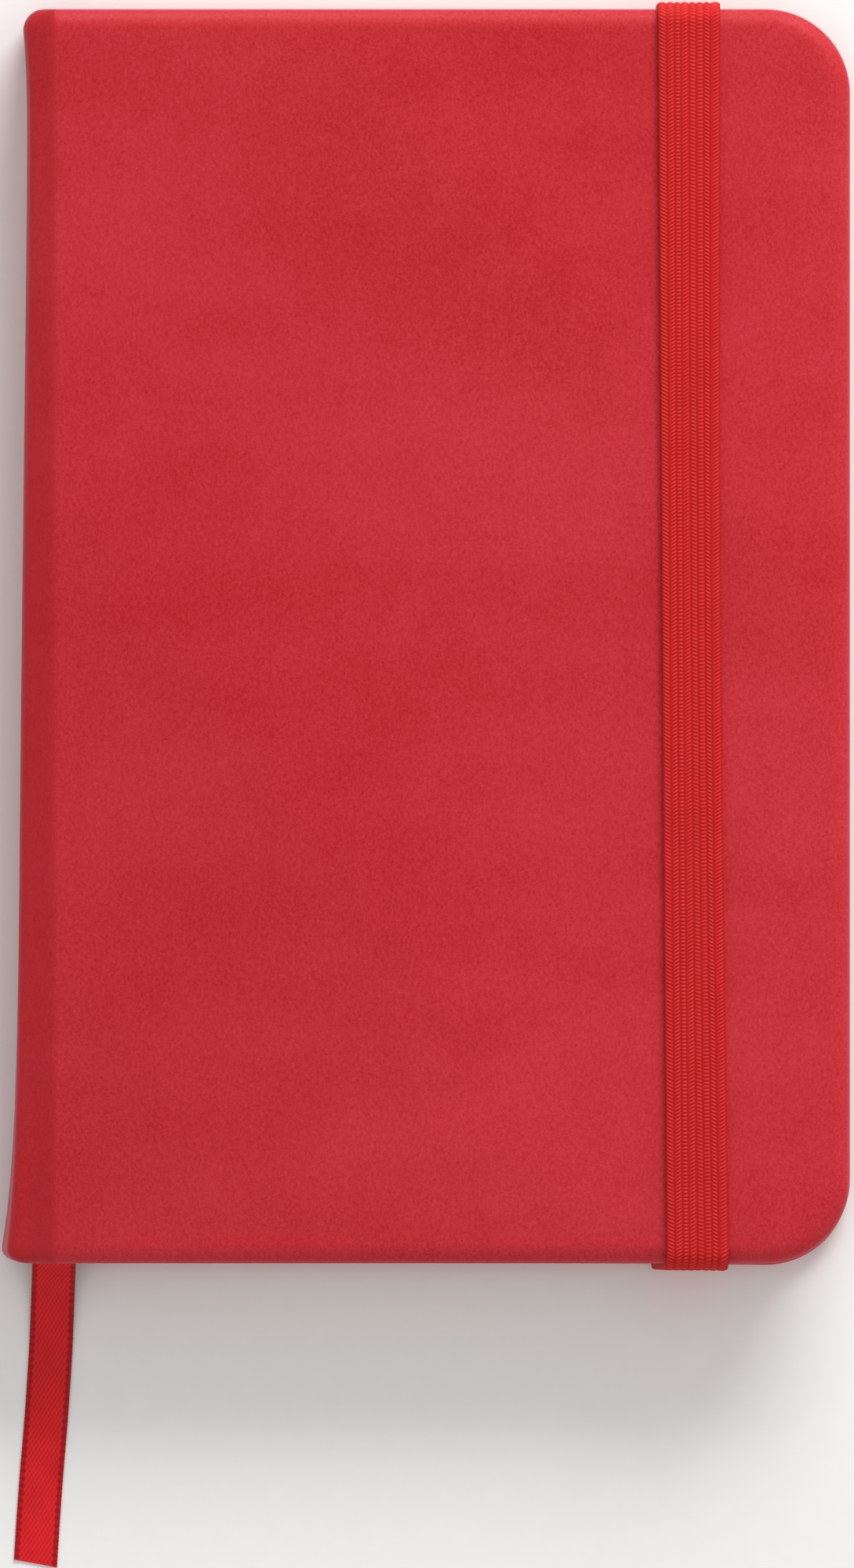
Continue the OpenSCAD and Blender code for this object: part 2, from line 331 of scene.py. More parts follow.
def woven_finish(name, low, high, roughness, sheen, tint):
    """Yarn, with painted shade down between the stitches and painted highlight on top of them,
    after how raised each place is.
    """
    made, tree, shader = plain_finish(name, high, roughness, sheen, tint, specular=0.2)
    yarn = noise(tree, 9000, 1.0)
    fuzz = spread(tree, yarn, 0.3, 0.7, -0.12, 0.12)
    # Painted shade and highlight: the low colour where a place is sunk, the high one where it is
    # raised.
    colour = between(tree, reckon(tree, "ADD", marked(tree, "raised"), fuzz), low, high)
    patches = spread(tree, noise(tree, 260, 2.0), 0.3, 0.7, 0.0, 0.22)
    tree.links.new(between(tree, patches, colour, low), shader.inputs["Base Color"])
    bump(tree, shader, yarn, 0.03 * mm, 0.5)
    return made


def satin(u, s):
    """The ribbon's weave: pin holes in staggered rows between two beaded selvedges."""
    edge = ribbon_w / mm / 2
    bead = math.cos(2 * math.pi * s / weave_repeat)
    # The last value sets the colour: painted shade in the pin holes, and on the darker selvedge
    # painted highlight where each bead swells.
    if abs(u) > edge - selvedge:
        out = (abs(u) - edge + selvedge) / selvedge
        height = bead_height * math.sin(math.pi * min(out, 1)) * (1 + 0.5 * bead)
        return height, math.copysign(bead_out * bead * out, u), 0, 0.12 + 0.12 * bead
    hole = math.cos(2 * math.pi * u / hole_across) * math.cos(2 * math.pi * s / weave_repeat)
    return hole_depth * hole, 0, 0, 0.62 + 0.38 * hole


# The darker red is painted shade in the pin holes, the brighter one painted highlight on the raised
# weave.
ribbon_red = woven_finish("ribbon_satin", (0.32, 0.001, 0.003), (0.96, 0.017, 0.026), 0.42, 0.04,
                          (1.0, 0.6, 0.6))
ribbon = woven_strip("ribbon", ribbon_w, ribbon_t, ribbon_cells, ribbon_rows, weave_repeat * mm,
                     round(ribbon_length / (weave_repeat * mm)), satin)
for v in ribbon.data.vertices:
    near_end = max(0, v.co.y / ribbon_length - (1 - cut_share)) / cut_share
    v.co.y -= near_end * cut_skew * (v.co.x + ribbon_w / 2)
ribbon_line = eased(ribbon_route) * mm
level = np.gradient(ribbon_line, axis=0)
ribbon_across = np.stack([level[:, 1], -level[:, 0], 0 * level[:, 0]], axis=1)
lay_along(ribbon, ribbon_line, ribbon_across)
for v in ribbon.data.vertices:
    v.co.z = max(v.co.z, 0.0)
close_up(ribbon, ribbon_red, 60)
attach(ribbon, "root")
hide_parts("ribbon_bookmark")


# ---- The covers: one sheet of leatherette ----
# Soft-touch leatherette with a very fine grain, pulled over the boards and turned in by 12 mm at
# the head, tail and fore-edge. It is pressed down into each joint and wraps the spine.
joint_low, joint_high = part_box("cover_skin_joint")
joint_x = joint_low.x
board_x = joint_high.x
fore_x = cover_high.x
half_h = cover_high.y
corner_r = 9.5 * mm
corner_steps = 18
turn_in = 12 * mm
page_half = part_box("front_pastedown")[1].y
skin_t = 0.3 * mm
# How far the upper edges are eased, across and down.
edge_across, edge_down = 2.4 * mm, 1.6 * mm
# The joints: how steeply each falls, in how many steps, and how flat the eased edges are pressed.
joint_tilt = math.radians(24)
back_tilt = math.radians(17)
joint_steps = 9
pinch = 0.5
# The spine: the round of its edges, how far it stands in and askew, its flare at each end and how
# far that reaches, the share of the flare left at the top, and the round of its corners in plan.
spine_r = 1.4 * mm
spine_shift, spine_askew = -0.10 * mm, 0.012
tail_flare, tail_reach = 1.85 * mm, 9 * mm
head_flare, head_reach = 1.0 * mm, 5.5 * mm
top_share, full_below = 0.6, 1.18
plan_r, plan_pull, tail_share = 2.6 * mm, 2.2 * mm, 0.6
lean_from = 0.8 * mm
# How dark the painted shade over each joint gets, and how far past the board it starts and fades
# in.
pressed_share, pressed_from, pressed_over = 0.55, 0.6 * mm, 1.5 * mm


def skin_finish():
    """Matte red leatherette: fine grain, soft clouds of tone, faint fibres, a few specks, and
    painted shade over the joints.
    """
    made, tree, shader = plain_finish("leatherette", (0.5, 0.02, 0.03), 0.55, 0.12,
                                      (1.0, 0.66, 0.95), specular=0.22)
    grain = noise(tree, 4200, 2.0)
    fibre = noise(tree, 3200, 2.0, (1, 0.5, 1), 22)
    cross = noise(tree, 3400, 2.0, (1, 0.5, 1), -40)
    cloud = noise(tree, 40, 3.0, (0.6, 1.5, 1))
    patch = noise(tree, 300, 2.0, (1, 0.6, 1))
    tone = 0.5
    for layer, share in ((grain, 0.50), (fibre, 0.26), (cross, 0.24), (cloud, 0.38),
                         (patch, 0.10)):
        part = spread(tree, layer, 0.3, 0.7, -share / 2, share / 2)
        tone = reckon(tree, "ADD", tone, part)
    red = between(tree, tone, (0.425, 0.001, 0.005), (0.60, 0.032, 0.047))
    # Painted shade: where the joint mark is set, the red goes darker, standing in for the joint's
    # shading.
    red = between(tree, marked(tree, "pressed"), red, (0.37, 0.004, 0.007))
    place = node(tree, "ShaderNodeTexCoord")
    cells = node(tree, "ShaderNodeTexVoronoi", {"Scale": 42.0}, {"Vector": place.outputs["Object"]})
    speck = spread(tree, cells.outputs["Distance"], 0.004, 0.008, 0.5, 0.0)
    tree.links.new(between(tree, speck, red, (0.8, 0.45, 0.4)), shader.inputs["Base Color"])
    bump(tree, shader, reckon(tree, "ADD", grain, fibre), 0.03 * mm, 0.5)
    return made


leatherette = skin_finish()


def pressed_slab(name, low, high, corner, across, down):
    """A slab with rounded fore-edge corners. Its upper edges are eased, across and down, and its
    lower ones a little. It is bevelled at a stretched height and then pressed to size."""
    stretch = across / down
    thick = high[2] - low[2]
    size = (high[0] - low[0], high[1] - low[1], thick * stretch)
    bpy.ops.object.select_all(action="DESELECT")
    bpy.ops.mesh.primitive_cube_add(size=1)
    slab = bpy.context.object
    slab.name = name
    slab.scale = size
    slab.location = (low[0] + size[0] / 2, low[1] + size[1] / 2, size[2] / 2)
    bpy.ops.object.transform_apply(location=True, rotation=True, scale=True)
    edit(slab)
    pick(slab, "edges", lambda e: all_at(0, high[0])(e) and not all_at(2, 0)(e)
         and not all_at(2, size[2])(e))
    bpy.ops.mesh.bevel(offset=corner, segments=corner_steps, affect="EDGES")
    for z, ease, rings in ((size[2], across, 7), (0, min(0.5 * mm, thick / 4), 2)):
        pick(slab, "edges", lambda e: all_at(2, z)(e) and not all_at(0, low[0])(e))
        bpy.ops.mesh.bevel(offset=ease, segments=rings, affect="EDGES")
    bpy.ops.mesh.select_all(action="SELECT")
    bpy.ops.transform.resize(value=(1, 1, 1 / stretch), center_override=(0, 0, 0))
    bpy.ops.transform.translate(value=(0, 0, low[2]))
    return slab


def skin_over_board(name):
    """The skin over the front board, open at the spine, with its margins turned in."""
    skin = pressed_slab(name, (board_x, -half_h, cover_low.z), (fore_x, half_h, face_z),
                        corner_r, edge_across, edge_down)
    bpy.ops.mesh.select_mode(type="FACE")
    pick(skin, "faces", all_at(0, board_x))
    bpy.ops.mesh.delete(type="ONLY_FACE")
    pick(skin, "faces", all_at(2, cover_low.z))
    bpy.ops.mesh.inset(thickness=turn_in, use_boundary=False)
    bpy.ops.mesh.delete(type="FACE")
    for y in (-page_half - 0.1 * mm, page_half + 0.1 * mm):
        bpy.ops.mesh.select_all(action="SELECT")
        bpy.ops.mesh.bisect(plane_co=(0, y, 0), plane_no=(0, 1, 0))
    return skin


def joint_fall(reach, tilt, k):
    """How far the skin has gone down after k steps over the joint. It turns down over the first
    third of the way and then runs straight on at its tilt."""
    turn = joint_steps / 3
    turned = min(k, turn) ** 2 / (2 * turn) + max(0, k - turn)
    return math.tan(tilt) * reach / joint_steps * turned


def press_joint(skin, reach, tilt):
    """Carries the skin, thinned where it is turned in, across the joint towards the spine."""
    bpy.ops.mesh.select_mode(type="EDGE")
    pick(skin, "edges", lambda e: all_at(0, board_x)(e) and e.is_boundary
         and (min(v.co.z for v in e.verts) > face_z - 0.5 * mm
              or all(abs(v.co.y) > page_half for v in e.verts)))
    for k in range(joint_steps):
        fall = joint_fall(reach, tilt, k) - joint_fall(reach, tilt, k + 1)
        bpy.ops.mesh.extrude_edges_move(
            TRANSFORM_OT_translate={"value": (-reach / joint_steps, 0, fall)})
        if k == 0:
            bpy.ops.transform.resize(value=(1, 1, pinch), center_override=(0, 0, face_z + fall))


def spine_out(y, z):
    """How far the spine stands out past its middle line. It runs slightly askew, and it flares
    at the tail and a little at the head, by the whole flare down at the table and less above."""
    tail, head = y + half_h, half_h - y
    out = spine_shift - spine_askew * y
    out += tail_flare * math.exp(-tail / tail_reach) + head_flare * math.exp(-head / head_reach)
    low = min(1.0, full_below * (1 - max(0.0, min(1.0, z / face_z))))
    return out if out < 0 else out * (top_share + (1 - top_share) * low ** 0.8)


def lean_spine(piece):
    """Moves what lies past the joint out with the spine, and rounds its corners in plan."""
    start = board_x - lean_from
    for v in piece.data.vertices:
        share = max(0.0, min(1.0, (joint_x - v.co.x) / spine_r))
        out = spine_out(v.co.y, v.co.z) * share * share * (3 - 2 * share)
        size = 1.0 if v.co.y > 0 else tail_share
        end = max(0.0, min(1.0, 1 - (half_h - abs(v.co.y)) / (plan_r * size)))
        pull = plan_pull * size * (1 - math.sqrt(1 - end * end))
        if v.co.x < start:
            v.co.x = start - (start - v.co.x) * (1 - pull / (start - joint_x + spine_r))
        v.co.x -= out


def mark_pressed(skin):
    """Marks the leatherette over the joint, where shade is painted into its colour: it is darker
    there.
    """
    mark = skin.data.attributes.new("pressed", "FLOAT", "POINT")
    for v in skin.data.vertices:
        share = max(0.0, min(1.0, (board_x + pressed_from - v.co.x) / pressed_over))
        mark.data[v.index].value = pressed_share * share * share * (3 - 2 * share)


def thicken(skin):
    """Gives the skin its thickness, inwards."""
    bpy.ops.mesh.select_all(action="SELECT")
    bpy.ops.mesh.remove_doubles(threshold=0.005 * mm)
    bpy.ops.mesh.select_all(action="SELECT")
    bpy.ops.mesh.normals_make_consistent(inside=False)
    bpy.ops.object.mode_set(mode="OBJECT")
    top = max(skin.data.polygons, key=lambda f: f.area)
    outwards = top.normal.z * (top.center.z - face_z / 2) > 0
    apply(skin, "SOLIDIFY", thickness=skin_t, offset=-1 if outwards else 1)


# The front cover, the joint and the spine are one piece. It is cut across where the spine leans,
# and closer together where it flares at the head and tail.
round_steps = 6
wall_steps = 6
flare_cuts = (-67, -65, -62, -58, -53, -46, -36, -22, -8, 8, 22, 36, 48, 56, 60, 63, 65.5, 67.3)
case_front = skin_over_board("case_front")
ridge_x = joint_x - spine_r * math.sin(joint_tilt)
press_joint(case_front, board_x - ridge_x, joint_tilt)
ridge_z = face_z - joint_fall(board_x - ridge_x, joint_tilt, joint_steps)
bpy.ops.mesh.spin(steps=round_steps, angle=math.pi / 2 - joint_tilt, axis=(0, 1, 0),
                  center=(joint_x, 0, ridge_z - spine_r * math.cos(joint_tilt)))
back_z = joint_fall(board_x - joint_x, back_tilt, joint_steps)
wall_h = ridge_z - spine_r * math.cos(joint_tilt) - (back_z + spine_r)
for k in range(wall_steps):
    bpy.ops.mesh.extrude_edges_move(TRANSFORM_OT_translate={"value": (0, 0, -wall_h / wall_steps)})
bpy.ops.mesh.spin(steps=round_steps, angle=math.pi / 2, axis=(0, 1, 0),
                  center=(joint_x, 0, back_z + spine_r))
for y in flare_cuts:
    bpy.ops.mesh.select_all(action="SELECT")
    bpy.ops.mesh.bisect(plane_co=(0, y * mm, 0), plane_no=(0, 1, 0))
thicken(case_front)
mark_pressed(case_front)
lean_spine(case_front)
close_up(case_front, leatherette)
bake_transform(case_front)
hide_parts("cover_skin_front", "cover_skin_joint", "cover_skin_spine")

# The same sheet over the back board, made as the front one and turned over. It meets the spine at
# the back joint, and it is pressed in under the elastic, which goes through a slit in each channel.
anchor_low, anchor_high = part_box("band_anchors")
slot_x = (anchor_low.x + anchor_high.x) / 2
band_w = anchor_high.x - anchor_low.x
slot_y = half_h - 12 * mm
half_channel = band_w / 2 + 0.1 * mm
channel_d = 0.9 * mm
channel_side = 0.4 * mm
half_slit = 0.5 * mm
near = 0.01 * mm
head_askew = 0.55 * mm
back_askew = 0.42 * mm

case_back = skin_over_board("case_back")
press_joint(case_back, board_x - joint_x, back_tilt)
bpy.ops.mesh.select_all(action="SELECT")
bpy.ops.transform.resize(value=(1, 1, -1), center_override=(0, 0, face_z / 2))
for x in (-half_channel - channel_side, -half_channel, half_channel, half_channel + channel_side):
    bpy.ops.mesh.select_all(action="SELECT")
    bpy.ops.mesh.bisect(plane_co=(slot_x + x, 0, 0), plane_no=(1, 0, 0))
for y in (slot_y - half_slit - channel_side, slot_y - half_slit, slot_y + half_slit):
    for side in (-1, 1):
        bpy.ops.mesh.select_all(action="SELECT")
        bpy.ops.mesh.bisect(plane_co=(0, side * y, 0), plane_no=(0, 1, 0))


def in_channel(co):
    """Whether a place lies under the elastic, in one of the two channels."""
    return abs(co.x - slot_x) < half_channel + near and abs(co.y) > slot_y - half_slit - near


bpy.ops.mesh.select_mode(type="FACE")
pick(case_back, "faces", lambda f: all_at(2, 0)(f) and all(
    in_channel(v.co) and abs(v.co.y) < slot_y + half_slit + near for v in f.verts))
bpy.ops.mesh.delete(type="FACE")
bpy.ops.object.mode_set(mode="OBJECT")
for v in case_back.data.vertices:
    if in_channel(v.co):
        v.co.z = max(v.co.z, channel_d)
    if abs(v.co.x - slot_x) < half_channel + channel_side + near and v.co.y > slot_y:
        v.co.x += head_askew * (v.co.y - slot_y) / (half_h - slot_y)
edit(case_back)
thicken(case_back)
mark_pressed(case_back)
for v in case_back.data.vertices:
    v.co.y -= back_askew * max(0.0, (v.co.x - board_x) / (fore_x - board_x)) ** 3
close_up(case_back, leatherette)
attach(case_back, "root")
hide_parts("cover_skin_back")


# ---- The boards and the spine card ----
# Grey recycled board, cut to size and glued to the skin, with its edges eased. The strip in the
# spine is thinner card, and it follows the lean of the spine.
board_gap = 0.02 * mm
board_corner_r = corner_r - 0.5 * mm
board_across, board_down = 1.9 * mm, 1.15 * mm


def board_finish():
    """Grey recycled board with pressed fibres and dark flecks."""
    made, tree, shader = plain_finish("grey_board", (0.34, 0.32, 0.29), 0.9, specular=0.2)
    fibres = noise(tree, 1100, 4.0, (1, 0.4, 1))
    flecks = noise(tree, 3800, 1.0)
    grey = between(tree, spread(tree, fibres, 0.3, 0.7), (0.29, 0.27, 0.24), (0.40, 0.38, 0.34))
    tree.links.new(between(tree, spread(tree, flecks, 0.66, 0.72, 0.0, 0.6), grey,
                           (0.10, 0.09, 0.08)), shader.inputs["Base Color"])
    bump(tree, shader, fibres, 0.05 * mm, 0.6)
    return made


grey_board = board_finish()
for cad_name, name, body in (("front_board", "board_front", "front_cover"),
                             ("back_board", "board_back", "root")):
    low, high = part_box(cad_name)
    shelf_z = low.z + skin_t + board_gap
    # The board is recessed all round its inner face, where the skin is turned in over it.
    board = pressed_slab(name, (low.x, low.y, shelf_z), high, board_corner_r, board_across,
                         board_down)
    bpy.ops.mesh.select_mode(type="FACE")
    pick(board, "faces", all_at(2, shelf_z))
    bpy.ops.mesh.inset(thickness=turn_in)
    bpy.ops.mesh.extrude_region_move(
        TRANSFORM_OT_translate={"value": (0, 0, low.z - shelf_z)})
    if body == "root":
        bpy.ops.mesh.select_all(action="SELECT")
        bpy.ops.transform.resize(value=(1, 1, -1), center_override=(0, 0, (low.z + high.z) / 2))
    bpy.ops.mesh.select_all(action="SELECT")
    bpy.ops.mesh.normals_make_consistent(inside=False)
    close_up(board, grey_board)
    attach(board, body)
    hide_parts(cad_name)

card_low, card_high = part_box("spine_strip")
card_bottom = back_z + 0.45 * mm
card_top = ridge_z - 0.6 * mm
card_edge = 0.35 * mm
bpy.ops.object.select_all(action="DESELECT")
bpy.ops.mesh.primitive_cube_add(size=1)
card = bpy.context.object
card.name = "spine_card"
card.scale = (card_high.x - card_low.x - 0.1 * mm, 2 * card_high.y, card_top - card_bottom)
card.location = ((card_low.x + card_high.x) / 2, 0, (card_top + card_bottom) / 2)
bpy.ops.object.transform_apply(location=True, rotation=True, scale=True)
edit(card)
pick(card, "edges", lambda e: all_at(0, min(v.co.x for v in card.data.vertices))(e)
     and not all_at(1, card_high.y)(e) and not all_at(1, -card_high.y)(e))
bpy.ops.mesh.bevel(offset=card_edge, segments=3, affect="EDGES")
# It is cut both ways, so that it can follow the lean.
for y in range(-66, 70, 6):
    bpy.ops.mesh.select_all(action="SELECT")
    bpy.ops.mesh.bisect(plane_co=(0, y * mm, 0), plane_no=(0, 1, 0))
for z in range(3, 12, 2):
    bpy.ops.mesh.select_all(action="SELECT")
    bpy.ops.mesh.bisect(plane_co=(0, 0, z * mm), plane_no=(0, 0, 1))
bpy.ops.object.mode_set(mode="OBJECT")
lean_spine(card)
close_up(card, grey_board)
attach(card, "root")
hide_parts("spine_strip")


# ---- Paper: the end-papers, the loose leaves and the gatherings ----
# Cream writing paper, faintly ruled, and heavier end-papers. Each gathering is four sheets folded
# into eight leaves; the leaves of the first one, and the front flyleaf, are made as single leaves.
ruling_pitch = 6 * mm
ruling_top = 56 * mm
ruling_grey = (0.42, 0.42, 0.44)


def paper_finish(name, colour, ruled):
    """Cream paper with fine fibres, and on writing paper the ruling across the leaf."""
    made, tree, shader = plain_finish(name, colour, 0.85, specular=0.25)
    fibres = noise(tree, 1600, 3.0)
    darker = tuple(c * 0.93 for c in colour)
    cream = between(tree, spread(tree, fibres, 0.3, 0.7), darker, colour)
    if ruled:
        place = node(tree, "ShaderNodeTexCoord")
        parts = node(tree, "ShaderNodeSeparateXYZ", {}, {0: place.outputs["Object"]})
        from_line = reckon(tree, "PINGPONG", parts.outputs["Y"], ruling_pitch / 2)
        line = spread(tree, from_line, 0.06 * mm, 0.10 * mm, 0.55, 0.0)
        below_top = spread(tree, parts.outputs["Y"], ruling_top - 0.1 * mm, ruling_top, 1.0, 0.0)
        cream = between(tree, reckon(tree, "MULTIPLY", line, below_top), cream, ruling_grey)
    tree.links.new(cream, shader.inputs["Base Color"])
    bump(tree, shader, fibres, 0.015 * mm, 0.4)
    return made


def edge_finish():
    """The trimmed edges of the leaves, in thin lines of tone."""
    made, tree, shader = plain_finish("trimmed_edge", (0.8, 0.75, 0.62), 0.9, specular=0.2)
    lines = noise(tree, 900, 3.0, (0.05, 0.05, 9))
    tree.links.new(between(tree, spread(tree, lines, 0.3, 0.7), (0.62, 0.57, 0.46),
                           (0.86, 0.81, 0.69)), shader.inputs["Base Color"])
    bump(tree, shader, lines, 0.03 * mm, 0.5)
    return made


writing_paper = paper_finish("writing_paper", (0.84, 0.79, 0.66), True)
end_paper = paper_finish("end_paper", (0.82, 0.76, 0.62), False)
trimmed_edge = edge_finish()
page_low, page_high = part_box("signature_02")
page_x = page_high.x
page_r = 6 * mm
page_corner_steps = 7
leaf_pitch = 0.09 * mm
leaf_t = 0.085 * mm
# The single leaves are cut across from turn_x, at the folds, to bend_x.
turn_x = page_low.x + 0.5 * mm
bend_x = -38 * mm
bend_steps = 12


def leaf_slab(name, x, thick, middle=0.0):
    """One leaf, from x to the fore-edge, with rounded fore-edge corners."""
    bpy.ops.object.select_all(action="DESELECT")
    bpy.ops.mesh.primitive_cube_add(size=1)
    leaf = bpy.context.object
    leaf.name = name
    leaf.scale = (page_x - x, 2 * page_half, thick)
    leaf.location = ((page_x + x) / 2, 0, middle)
    bpy.ops.object.transform_apply(location=True, rotation=True, scale=True)
    edit(leaf)
    pick(leaf, "edges", lambda e: all_at(0, page_x)(e)
         and abs(e.verts[0].co.z - e.verts[1].co.z) > thick / 2)
    bpy.ops.mesh.bevel(offset=page_r, segments=page_corner_steps, affect="EDGES")
    return leaf


def two_papers(piece, face, edge):
    """Gives the flat faces of the leaves one paper, and their trimmed edges the other."""
    piece.data.materials.clear()
    for finish in (face, edge):
        piece.data.materials.append(finish)
    for f in piece.data.polygons:
        f.material_index = 0 if abs(f.normal.z) > 0.5 else 1


leaf_model = leaf_slab("leaf_model", turn_x, leaf_t)
for k in range(bend_steps):
    bpy.ops.mesh.select_all(action="SELECT")
    bpy.ops.mesh.bisect(plane_co=(turn_x + (k + 1) * (bend_x - turn_x) / bend_steps, 0, 0),
                        plane_no=(1, 0, 0))
bpy.ops.object.mode_set(mode="OBJECT")
# No leaf is trimmed quite like its neighbour, at the fore-edge (out) or at the head and tail (up).
dice = random.Random(12)
single_out, folded_out, folded_up = (-0.07, 0.03), (-0.09, 0.02), (-0.04, 0.04)
turning = [("front_flyleaf", "flyleaf", "flyleaf_front", end_paper, "endpaper")]
turning += [(f"leaf_{i:02d}", f"leaf_{i:02d}", f"page_{i:02d}", writing_paper, "writing_paper")
            for i in range(1, 9)]
for cad_name, body, name, finish, slot_name in turning:
    low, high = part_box(cad_name)
    leaf = leaf_model.copy()
    leaf.data = leaf_model.data.copy()
    leaf.name = name
    bpy.context.scene.collection.objects.link(leaf)
    trim = dice.uniform(*single_out) * mm
    for v in leaf.data.vertices:
        share = (v.co.x - turn_x) / (page_x - turn_x)
        v.co.x += trim * share
        v.co.z = v.co.z * (high.z - low.z) / leaf_pitch + (low.z + high.z) / 2
    close_up(leaf, None)
    two_papers(leaf, finish, trimmed_edge)
    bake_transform(leaf)
    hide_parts(cad_name)
bpy.data.objects.remove(leaf_model)

# The front pastedown and the end-paper's fold across the joint are one leaf, glued to the board.
paste_low, paste_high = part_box("front_pastedown")
fold_low, fold_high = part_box("endpaper_joint")
endpaper_t = 0.13 * mm
fold_cut = 0.25 * mm
endpaper = leaf_slab("endpaper_front", fold_low.x + 0.05 * mm, endpaper_t)
for k in range(1, 14):
    bpy.ops.mesh.select_all(action="SELECT")
    bpy.ops.mesh.bisect(plane_co=(fold_low.x + k * fold_cut, 0, 0), plane_no=(1, 0, 0))
bpy.ops.object.mode_set(mode="OBJECT")
for v in endpaper.data.vertices:
    share = max(0.0, min(1.0, (v.co.x - fold_low.x) / (board_x - fold_low.x)))
    rise = share * share * (3 - 2 * share)
    v.co.z += (1 - rise) * (fold_low.z + fold_high.z) / 2 + rise * (paste_low.z + paste_high.z) / 2
close_up(endpaper, None)
two_papers(endpaper, end_paper, trimmed_edge)
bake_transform(endpaper)
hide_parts("front_pastedown", "endpaper_joint")

# One gathering: four sheets, each folded round the one inside it. All eleven are copies of it, and
# the seventh lifts over the ribbon.
sheet_count = 4
leaf_count = 2 * sheet_count
fold_x = page_low.x + sheet_count * leaf_pitch
room_for_ribbon = 0.3 * mm
lifted, lift_x, lift_over = 7, -39.6 * mm, 10 * mm
lift_cuts = (-41, -39.5, -38, -36, -33, -28)
sheets = []
for k in range(sheet_count):
    sheet = leaf_slab(f"sheet_{k}", fold_x, leaf_pitch * 0.9, -(k + 0.5) * leaf_pitch)
    bpy.ops.mesh.select_mode(type="FACE")
    bpy.ops.mesh.select_all(action="SELECT")
    bpy.ops.mesh.duplicate()
    bpy.ops.transform.resize(value=(1, 1, -1), center_override=(0, 0, 0))
    pick(sheet, "faces", all_at(0, fold_x))
    bpy.ops.mesh.delete(type="ONLY_FACE")
    bpy.ops.mesh.select_mode(type="EDGE")
    pick(sheet, "edges", lambda e: all_at(0, fold_x)(e) and max(v.co.z for v in e.verts) < 0)
    bpy.ops.mesh.spin(steps=6, angle=math.pi, center=(fold_x, 0, 0), axis=(0, -1, 0))
    bpy.ops.mesh.select_all(action="SELECT")
    bpy.ops.mesh.remove_doubles(threshold=0.002 * mm)
    bpy.ops.mesh.select_all(action="SELECT")
    bpy.ops.mesh.normals_make_consistent(inside=False)
    bpy.ops.object.mode_set(mode="OBJECT")
    sheets.append(sheet)
bpy.ops.object.select_all(action="DESELECT")
for sheet in sheets:
    sheet.select_set(True)
bpy.context.view_layer.objects.active = sheets[0]
bpy.ops.object.join()
gathering_model = bpy.context.object
edit(gathering_model)
for x in lift_cuts:
    bpy.ops.mesh.select_all(action="SELECT")
    bpy.ops.mesh.bisect(plane_co=(x * mm, 0, 0), plane_no=(1, 0, 0))
bpy.ops.object.mode_set(mode="OBJECT")

for i in range(2, 13):
    low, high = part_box(f"signature_{i:02d}")
    gathering = gathering_model.copy()
    gathering.data = gathering_model.data.copy()
    gathering.name = f"gathering_{i:02d}"
    bpy.context.scene.collection.objects.link(gathering)
    trims = [(dice.uniform(*folded_out), dice.uniform(*folded_up)) for _ in range(leaf_count)]
    for v in gathering.data.vertices:
        if v.co.x > fold_x + 0.01 * mm:
            layer = int(v.co.z / leaf_pitch + sheet_count)
            out, up = trims[min(leaf_count - 1, max(0, layer))]
            share = (v.co.x - fold_x) / (page_x - fold_x)
            v.co.x += out * mm * share
            v.co.y += up * mm * share
        height = v.co.z + sheet_count * leaf_pitch
        if i == lifted:
            past = max(0.0, min(1.0, (v.co.x - lift_x) / lift_over))
            opened = past * past * (3 - 2 * past)
            height = height * (1 + opened * room_for_ribbon / (leaf_count * leaf_pitch))
            height += (1 - opened) * room_for_ribbon
        v.co.z = low.z + height
    close_up(gathering, None)
    two_papers(gathering, writing_paper, trimmed_edge)
    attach(gathering, "root")
    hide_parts(f"signature_{i:02d}")
bpy.data.objects.remove(gathering_model)


def refinish(cad_name, finish):
    """Gives a CAD node its finish and leaves its shape alone."""
    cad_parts[cad_name].data.materials.clear()
    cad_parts[cad_name].data.materials.append(finish)


for cad_name in ("back_pastedown", "back_flyleaf"):
    refinish(cad_name, end_paper)
refinish("signature_01_fold", trimmed_edge)


# ---- The spine lining and the sewing thread ----
# Starched gauze, glued over the folds of the gatherings, and the waxed linen thread that sews them
# together through the sawn stations. Both keep the shape of their CAD nodes.
threads_to_metre = 420.0
twists_to_metre = 600.0


def gauze_finish():
    """Open woven gauze: pale threads both ways with darker gaps."""
    made, tree, shader = plain_finish("starched_gauze", (0.80, 0.78, 0.70), 0.9, specular=0.2)
    place = node(tree, "ShaderNodeTexCoord")
    across = node(tree, "ShaderNodeTexWave", {"Scale": threads_to_metre, "Distortion": 0.6},
                  {"Vector": place.outputs["Object"]})
    across.bands_direction = "Y"
    along = node(tree, "ShaderNodeTexWave", {"Scale": threads_to_metre, "Distortion": 0.6},
                 {"Vector": place.outputs["Object"]})
    along.bands_direction = "Z"
    threads = reckon(tree, "MAXIMUM", across.outputs["Fac"], along.outputs["Fac"])
    tree.links.new(between(tree, threads, (0.50, 0.46, 0.36), (0.86, 0.84, 0.77)),
                   shader.inputs["Base Color"])
    bump(tree, shader, threads, 0.1 * mm, 0.7)
    return made


def thread_finish():
    """Twisted linen thread."""
    made, tree, shader = plain_finish("linen_thread", (0.84, 0.81, 0.72), 0.6)
    place = node(tree, "ShaderNodeTexCoord")
    twist = node(tree, "ShaderNodeTexWave", {"Scale": twists_to_metre},
                 {"Vector": place.outputs["Object"]})
    twist.bands_direction = "DIAGONAL"
    tree.links.new(between(tree, twist.outputs["Fac"], (0.66, 0.61, 0.50), (0.88, 0.86, 0.78)),
                   shader.inputs["Base Color"])
    bump(tree, shader, twist.outputs["Fac"], 0.05 * mm, 0.8)
    return made


refinish("spine_lining", gauze_finish())
refinish("sewing_thread", thread_finish())


# ---- The elastic band ----
# Knitted elastic in eight ribs of slanted stitches. Its ends are glued inside the back cover; it
# comes out through the slits, runs round the head and tail edges and over the front cover.
band_t = 0.62 * mm
